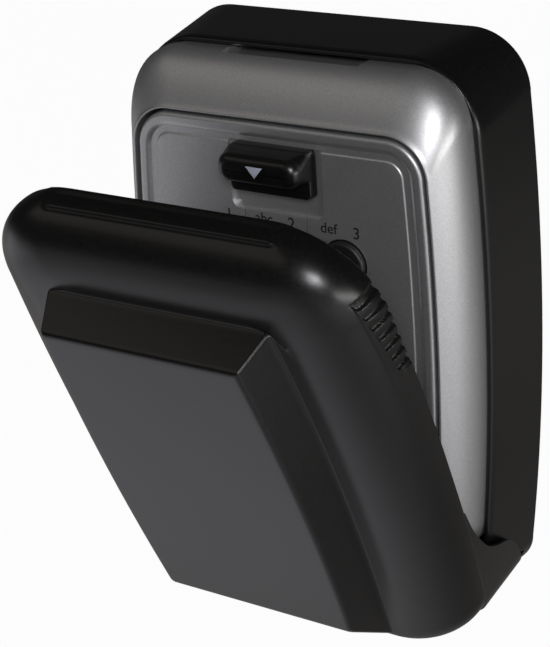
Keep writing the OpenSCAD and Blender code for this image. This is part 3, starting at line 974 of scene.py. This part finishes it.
def lip_height(x, depth):
    """How far the finger step and the back edge's low rim stand up from the flap's top."""
    ends = fade(step_half - np.abs(x), step_end)
    step = step_rise * fade(depth - step_back, step_run) * fade(step_front - depth, lip_drop)
    rim = rim_rise * fade(step_back - depth, rim_run) * fade(rim_half - np.abs(x), lip_drop)
    return ends * step + rim


outer_rings = rings_of(outer_path, flap_spread)
ring_depth = -outer_rings[..., 1]
ring_x = outer_rings[..., 0].copy()
ring_z = outer_rings[..., 2].copy()
on_side = np.abs(ring_x) > side_from
on_side[0] = False  # the first row lies inside the edge
outer_rings[..., 0] -= np.where(on_side, np.sign(ring_x) * grip_depth(ring_z, ring_depth), 0)
outer_rings[..., 2] += np.where(ring_z > top_from, lip_height(ring_x, ring_depth), 0)
flap_rings = np.concatenate([rings_of(inner_path, flap_spread), outer_rings])
cover_flap = skin("flap_shell", to_ajar(slanted(flap_rings)))
hand_over(cover_flap, "flap", "black_satin", cover_plastic, "cover_flap", sharp=40)

# %% [markdown]
# ## The hinge
# The flap hangs on a strip with a thin crease at each end, all moulded in one with the cover. The
# strip is lofted along its length, and a thin cheek at each side carries the flap's edge on to the rear
# cover. Thin webs lie over the two creases.

# %% Strip between the creases
strip_half = 35.3
strip_up = 0.8
strip_belly = 0.2
edge_chamfer = 0.5
strip_rings = []
for s in np.linspace(0.55, strip_length - 0.5, 20):
    under = -strip_up - strip_belly * math.sin(math.pi * s / strip_length)
    right = [(0, under), (strip_half - 0.6, under), (strip_half, under + edge_chamfer), (strip_half, 0.5),
             (strip_half - 0.3, strip_up), (0, strip_up)]
    ring = right + [(-x, h) for x, h in right[-2:0:-1]]
    strip_rings.append([(x, -along_strip(s, h)[0], along_strip(s, h)[1]) for x, h in ring])
hinge_strip = skin("hinge_strip_channel", to_ajar(np.array(strip_rings)))
soften(hinge_strip, 0.15, degrees=50)
hand_over(hinge_strip, "strip", "black_satin", cover_plastic, "hinge_strip")

# %% Cheeks that carry the flap's sides on to the rear cover
cheek_wall = 0.9
cheek_round = 6.0
cheek_drop = 0.9
cheek_half = flap_half - 0.05
cheek_join = flap_back + 0.1
cheek_back = np.array([(5.3, -57.7), (5.1, -52.6), (6.3, -46.5), (8.0, -42.9), (9.8, -40.6), (13.1, -38.0),
                       (15.7, -35.2), (17.4, -32.6), (18.9, -28.7), (20.2, -24.9), (21.0, -21.1),
                       (21.5, -16.6)])
cheek_front = np.array([(cheek_join, -51.8), (cheek_join, -16.4)])


def smoothed(points, times=3):
    """Cuts the corners of a line again and again until it is a curve."""
    for _ in range(times):
        first = points[:-1] * 0.75 + points[1:] * 0.25
        second = points[:-1] * 0.25 + points[1:] * 0.75
        points = np.concatenate([points[:1], np.stack([first, second], 1).reshape(-1, 2), points[-1:]])
    return points


def part_way(points, share):
    """The points at some shares of a line's length."""
    length = np.concatenate([[0], np.cumsum(np.linalg.norm(np.diff(points, axis=0), axis=1))])
    return np.stack([np.interp(share * length[-1], length, points[:, k]) for k in (0, 1)], 1)


row_bias = 1.4
up = np.linspace(0, 1, 34) ** row_bias
across = np.linspace(0, 1, 18)[None, :, None]
back_line = part_way(smoothed(cheek_back), up)[:, None]
front_line = part_way(cheek_front, up)[:, None]
cheek = back_line * (1 - across) + front_line * across
ahead = cheek[..., 0] - crease_depth
above = cheek[..., 1] - rear_crease.z
run_s = ahead * math.cos(strip_run) + above * math.sin(strip_run)
rise_h = above * math.cos(strip_run) - ahead * math.sin(strip_run)
lean = fade(cheek_round - rise_h - cheek_drop, cheek_round)
side_x = bowed(cheek_half, cheek[..., 1])


def cheek_skin(inwards):
    """The cheek's points on its outer face, or that much inside it."""
    x = side_x - cheek_round + (cheek_round - inwards) * np.sqrt(1 - lean ** 2)
    depth, z = along_strip(run_s, rise_h + inwards * lean)
    return np.stack([x, -depth, z], -1)


def shell(name, outer, inner):
    """A closed sheet between two grids of points."""
    rows, columns = outer.shape[:2]
    count = rows * columns
    grid = np.arange(count).reshape(rows, columns)
    faces = []
    for k in grid[:-1, :-1].ravel():
        faces.append((k, k + 1, k + columns + 1, k + columns))
        faces.append((count + k, count + k + columns, count + k + columns + 1, count + k + 1))
    edge = [*grid[0, :-1], *grid[:-1, -1], *grid[-1, :0:-1], *grid[:0:-1, 0]]
    faces += [(a, count + a, count + b, b) for a, b in zip(edge, edge[1:] + edge[:1])]
    piece = new_piece(name, np.concatenate([outer.reshape(-1, 3), inner.reshape(-1, 3)]).tolist(), faces)
    sorted_faces = bmesh.new()
    sorted_faces.from_mesh(piece.data)
    bmesh.ops.recalc_face_normals(sorted_faces, faces=sorted_faces.faces)
    sorted_faces.to_mesh(piece.data)
    sorted_faces.free()
    return piece


def ajar_place(x, place):
    """A (depth, z) point of the shut cover, in metres with the cover ajar."""
    return tuple(to_ajar([x, -place[0], place[1]]) * MM)


fold_x = 42.0
fold_start = (12.0, -56.0)
fold_end = (21.0, -38.0)
for name, way in (("hinge_cheek_right", 1), ("hinge_cheek_left", -1)):
    side = np.array([way, 1, 1])
    cheek_piece = shell(name, to_ajar(cheek_skin(0) * side), to_ajar(cheek_skin(cheek_wall) * side))
    hand_over(cheek_piece, None, "black_satin", cover_plastic, sharp=50)
    ajar_place(way * fold_x, fold_start)
    ajar_place(way * fold_x, fold_end)
    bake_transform(cheek_piece)

# %% Thin webs over the two creases
web_half = 34.6
web_thick = 0.28


def web(name, start, end, lift):
    """A thin sheet from start to end, both (depth, z) with the cover shut, bent up by lift."""
    start = np.array(start)
    run = np.array(end) - start
    side = np.array([-run[1], run[0]]) / np.linalg.norm(run)
    rows = []
    for t in np.linspace(0, 1, 9):
        middle = start + run * t + side * lift * math.sin(math.pi * t)
        below = middle - side * web_thick
        above = middle + side * web_thick
        section = [(-web_half, *below), (web_half, *below), (web_half, *above), (-web_half, *above)]
        rows.append([(x, -depth, z) for x, depth, z in section])
    return skin(name, to_ajar(np.array(rows)))


front_depth, front_z = along_strip(strip_length, 0)
front_web = web("front_crease_web", along_strip(strip_length - 1.2, 0.35),
                (front_depth + 1.2, front_z + 0.2), lift=0.2)
hand_over(front_web, None, "black_satin", cover_plastic)
web_start = ajar_place(0, along_strip(strip_length - 1.0, 0))
web_end = ajar_place(0, (front_depth + 1.0, front_z + 0.1))
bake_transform(front_web)
rear_web = web("rear_crease_web", (crease_depth - 0.9, rear_crease.z + 1.5), along_strip(1.3, 0.4), lift=0.1)
hand_over(rear_web, None, "black_satin", cover_plastic)
web_start = Vector((0, rear_crease.y + 0.5, rear_crease.z + 1.2)) * MM
web_end = ajar_place(0, along_strip(1.2, 0.4))
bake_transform(rear_web)

# %% [markdown]
# ## The works behind the door
# The plate, slide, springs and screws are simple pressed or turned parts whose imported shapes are
# already right. They keep their own meshes and only get a metal finish.

# %% Give the works their metals
works = [(steel_sheet, ["mechanism_plate", "lock_slide", "latch_keeper"]),
         (steel_wire, ["plate_screws", "lever_screws", "door_hinge_pin", "button_springs", "lever_spring"]),
         (brass, ["code_selector_" + key for key in keys])]
for finish, nodes in works:
    for node in nodes:
        paint(frame["nodes"][node], finish)
    print(finish.name, "is on", len(nodes), "of the works")

# %% [markdown]
# ## The studio
# A wall safe has no foot, so it hangs in front of white paper, high enough for the flap to swing. A
# softbox stands in front at the right, a low strip lamp at the far right and a weak warm fill at the
# upper left, in a dim room. The camera sees the paper white without more light on the object.
# Mirror-like rays see painted light and shade on it: bright in front and darker behind, as a shaded sweep
# looks in gloss.

# %% Painted light and shade of the paper, as mirror-like rays see it
paper, paper_shader = start_finish("studio_paper", (0.8, 0.8, 0.8), 0.0, 0.9)


def painted_tone_along(axis, stops):
    """The painted light and shade of the paper along an axis, from stops of a place in metres and a colour.
    """
    low = stops[0][0]
    high = stops[-1][0]
    share = add_node(paper, "MapRange", From_Min=low, From_Max=high)
    tones = add_node(paper, "ValToRGB")
    elements = tones.color_ramp.elements
    for spot, tone in stops[1:-1]:
        elements.new((spot - low) / (high - low)).color = (*tone, 1)
    elements[0].color = (*stops[0][1], 1)
    elements[-1].color = (*stops[-1][1], 1)
    wire(axis, share.inputs["Value"])
    wire(share.outputs["Result"], tones.inputs["Fac"])
    return tones.outputs["Color"]


def larger(first, second):
    node = add_node(paper, "Math")
    node.operation = "MAXIMUM"
    wire(first, node.inputs[0])
    wire(second, node.inputs[1])
    return node.outputs[0]


def colour_mix(how):
    """The sockets of a mix of colours: its share, its first and second colour, and its result."""
    node = add_node(paper, "Mix")
    node.data_type = "RGBA"
    node.blend_type = how
    return node.inputs[0], node.inputs[6], node.inputs[7], node.outputs[2]


rays = add_node(paper, "LightPath").outputs
axes = add_node(paper, "SeparateXYZ")
place_by(paper, axes.inputs[0])
# Painted light and shade along the depth: bright in front of the safe, darker behind it.
painted_shade_stops_by_depth = [(-1.0, (0.35, 0.35, 0.37)), (-0.55, (0.55, 0.55, 0.58)), (-0.43, (0.85, 0.85, 0.9)),
               (-0.07, (0.95, 0.94, 1.0)), (-0.04, (0.6, 0.58, 0.58)), (0.02, (0.42, 0.4, 0.39)),
               (0.35, (0.3, 0.29, 0.28)), (0.9, (0.05, 0.05, 0.05))]
painted_shading_by_depth = painted_tone_along(axes.outputs["Y"], painted_shade_stops_by_depth)
# Painted light and shade across: a bright patch at the right, darker just right of the middle, lighter at the
# far left.
painted_shade_stops_across = [(-0.6, 1.0), (-0.36, 0.62), (-0.2, 0.78), (-0.04, 0.78), (0.1, 0.42), (0.17, 0.38), (0.3, 0.75),
              (0.6, 1.0)]
painted_shading_across = painted_tone_along(axes.outputs["X"], [(spot, (grey, grey, grey)) for spot, grey in painted_shade_stops_across])
# The two painted tones together make the painted reflection; the camera sees plain white instead.
painted_reflection_share, painted_reflection_first, painted_reflection_second, painted_reflection = colour_mix("MULTIPLY")
painted_reflection_share.default_value = 1.0
wire(painted_shading_by_depth, painted_reflection_first)
wire(painted_shading_across, painted_reflection_second)
white_share, white_first, white_second, tone_seen = colour_mix("MIX")
white_second.default_value = (1, 1, 1, 1)
wire(rays["Is Camera Ray"], white_share)
wire(painted_reflection, white_first)
camera_share = add_node(paper, "Math")
camera_share.operation = "MULTIPLY"
camera_share.inputs[1].default_value = 0.97
wire(rays["Is Camera Ray"], camera_share.inputs[0])
# Mirror-like rays see the paper glow with its painted light and shade.
mirrored = larger(rays["Is Glossy Ray"], rays["Is Transmission Ray"])
glow = add_node(paper, "Emission")
wire(tone_seen, glow.inputs["Color"])
mix = add_node(paper, "MixShader")
wire(larger(camera_share.outputs[0], mirrored), mix.inputs["Fac"])
wire(paper_shader.outputs[0], mix.inputs[1])
wire(glow.outputs[0], mix.inputs[2])
wire(mix.outputs[0], paper.node_tree.nodes["Material Output"].inputs["Surface"])
print("The paper's finish has", len(paper.node_tree.nodes), "nodes")

# %% Paper sweep
flap_room = 0.11
floor_height = cad_low.z - flap_room
sweep_half = 4.0
sweep_front = -4.0
sweep_top = 1.6
bend_start = 1.2
bend_radius = 0.5
sweep_side = [(sweep_front, 0.0), (bend_start, 0.0)]
sweep_side += arc(bend_start, bend_radius, bend_radius, np.linspace(-80, 0, 9))
sweep_side.append((bend_start + bend_radius, sweep_top))
sweep_points = [(x / MM, y / MM, (z + floor_height) / MM) for y, z in sweep_side
                for x in (-sweep_half, sweep_half)]
sweep_faces = [(2 * i, 2 * i + 1, 2 * i + 3, 2 * i + 2) for i in range(len(sweep_side) - 1)]
sweep = new_piece("paper_sweep", sweep_points, sweep_faces)
sweep.data.shade_smooth()
paint(sweep, paper)


# %% Lamps and room
def softbox(name, place, size, power, tint):
    """A soft lamp that looks at the front of the safe."""
    light = bpy.data.lights.new(name, "AREA")
    light.shape = "RECTANGLE"
    light.size, light.size_y = size
    light.energy = power
    light.color = tint
    lamp = add_object(name, light)
    lamp.location = place
    lamp.rotation_euler = (Vector(place) - lamp_aim).to_track_quat("Z", "Y").to_euler()
    print(name, "at", [round(c, 2) for c in place], "with", power, "W")


lamp_aim = Vector((0.0, -0.03, 0.0))
softbox("key_softbox", (0.50, -0.78, 0.46), size=(0.26, 0.26), power=5.2, tint=(0.97, 0.97, 1.0))
softbox("left_fill", (-0.60, -0.62, 0.77), size=(0.9, 0.4), power=0.5, tint=(1.0, 0.92, 0.83))
softbox("right_strip", (0.92, -0.26, 0.04), size=(0.7, 0.18), power=2.7, tint=(1.0, 1.0, 0.98))

world = bpy.data.worlds.new("dim_room")
world.use_nodes = True
fill_in(world.node_tree.nodes["Background"], Color=(0.03, 0.03, 0.03, 1), Strength=1.0)
bpy.context.scene.world = world
bpy.context.scene.view_settings.view_transform = "Standard"
